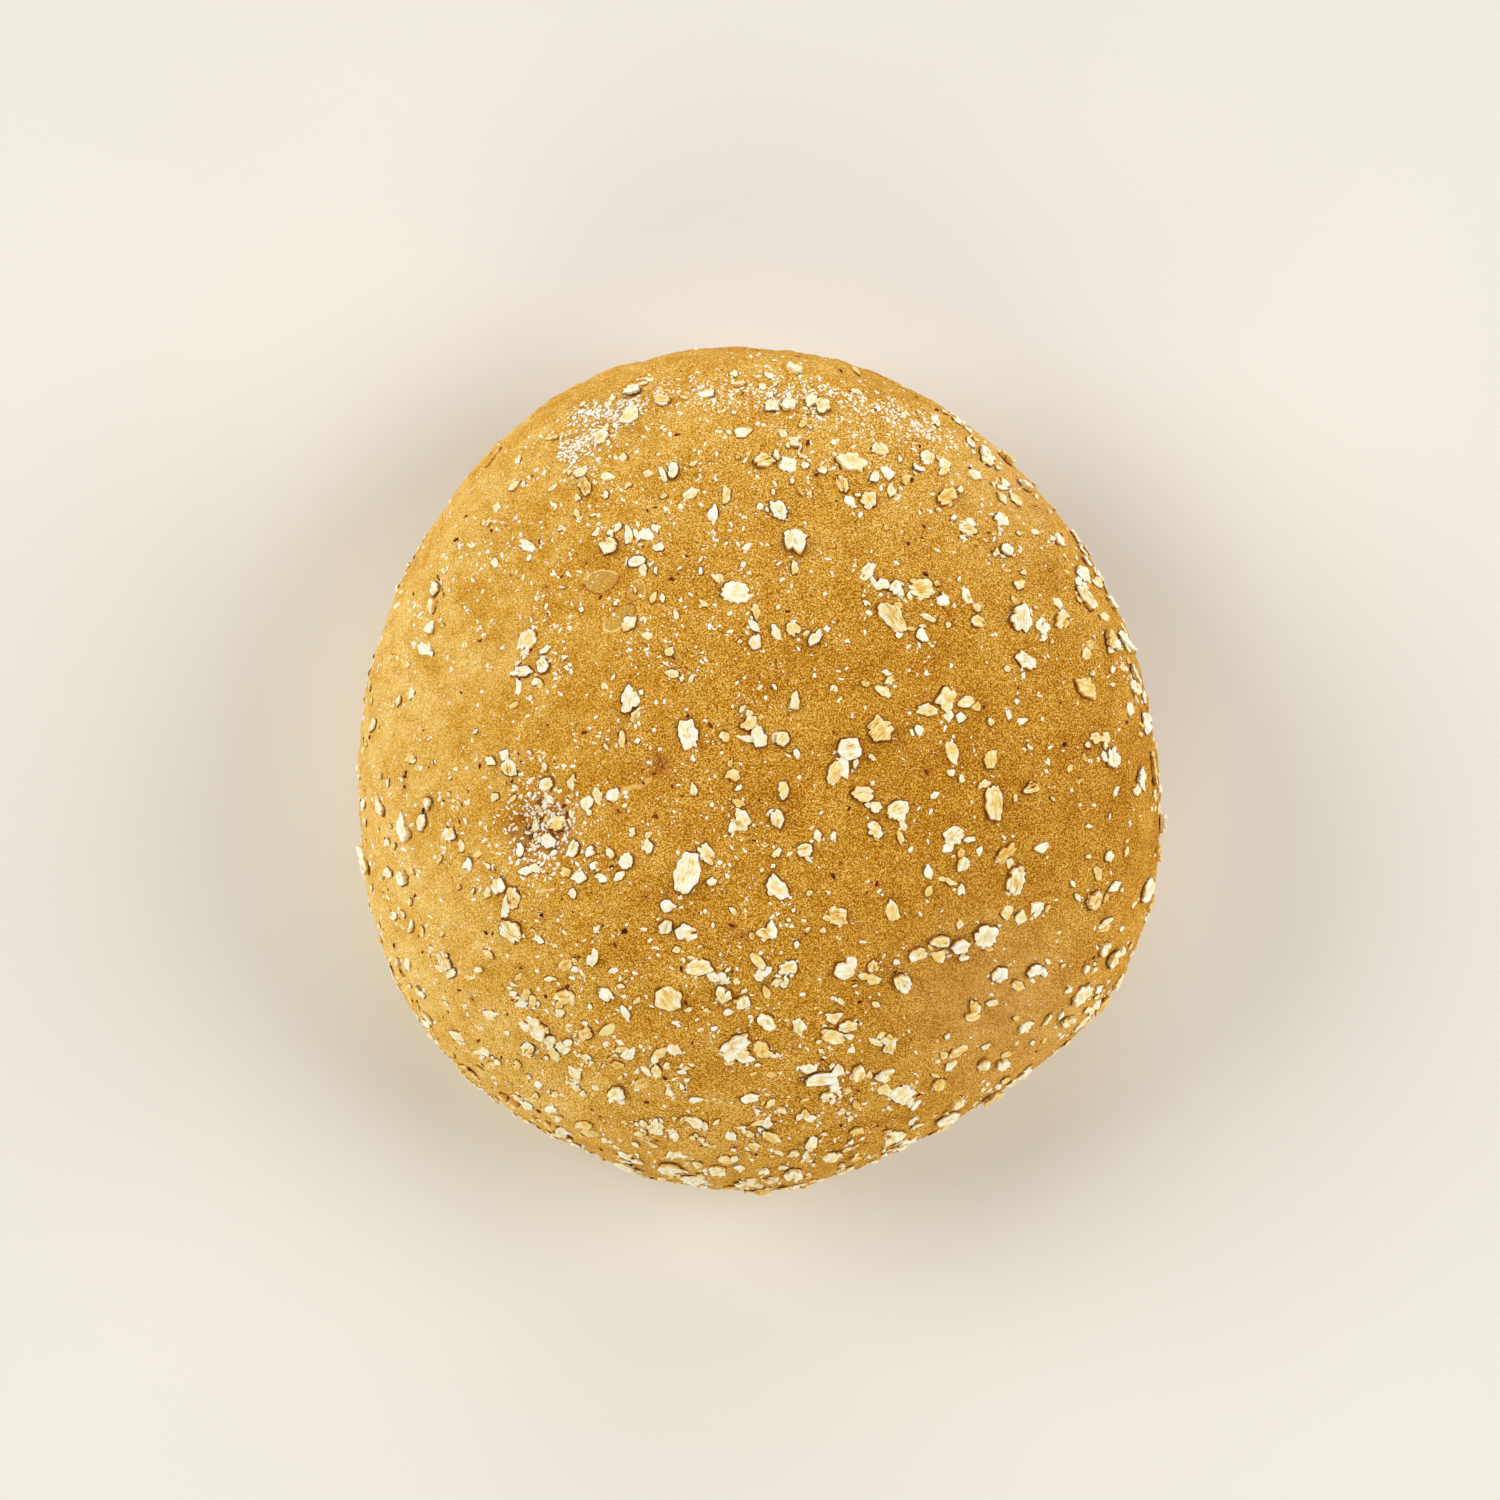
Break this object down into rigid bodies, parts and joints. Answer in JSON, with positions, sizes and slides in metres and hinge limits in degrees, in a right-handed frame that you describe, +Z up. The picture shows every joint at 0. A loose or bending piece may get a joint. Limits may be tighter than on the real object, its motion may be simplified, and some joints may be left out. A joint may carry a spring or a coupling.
{
  "type": "round rye bread loaf",
  "caption": "Round free-baked rye bread loaf with a low domed crust strewn with rolled-oat flakes, a small pit in its top, rounded sides and a flat base to rest on.",
  "frame": {"origin": "middle of the loaf's box from above, at the level that its base rests on", "axes": "+Z up, +Y along the loaf's longer side, +X across it"},
  "size_m": [0.172, 0.1803, 0.0773],
  "materials": {
    "crust": "dry matt golden-brown crust, finely grained",
    "oat": "dry matt cream oat flake"
  },
  "bodies": {
    "root": {"loaf": "crust"}
  },
  "joints": []
}
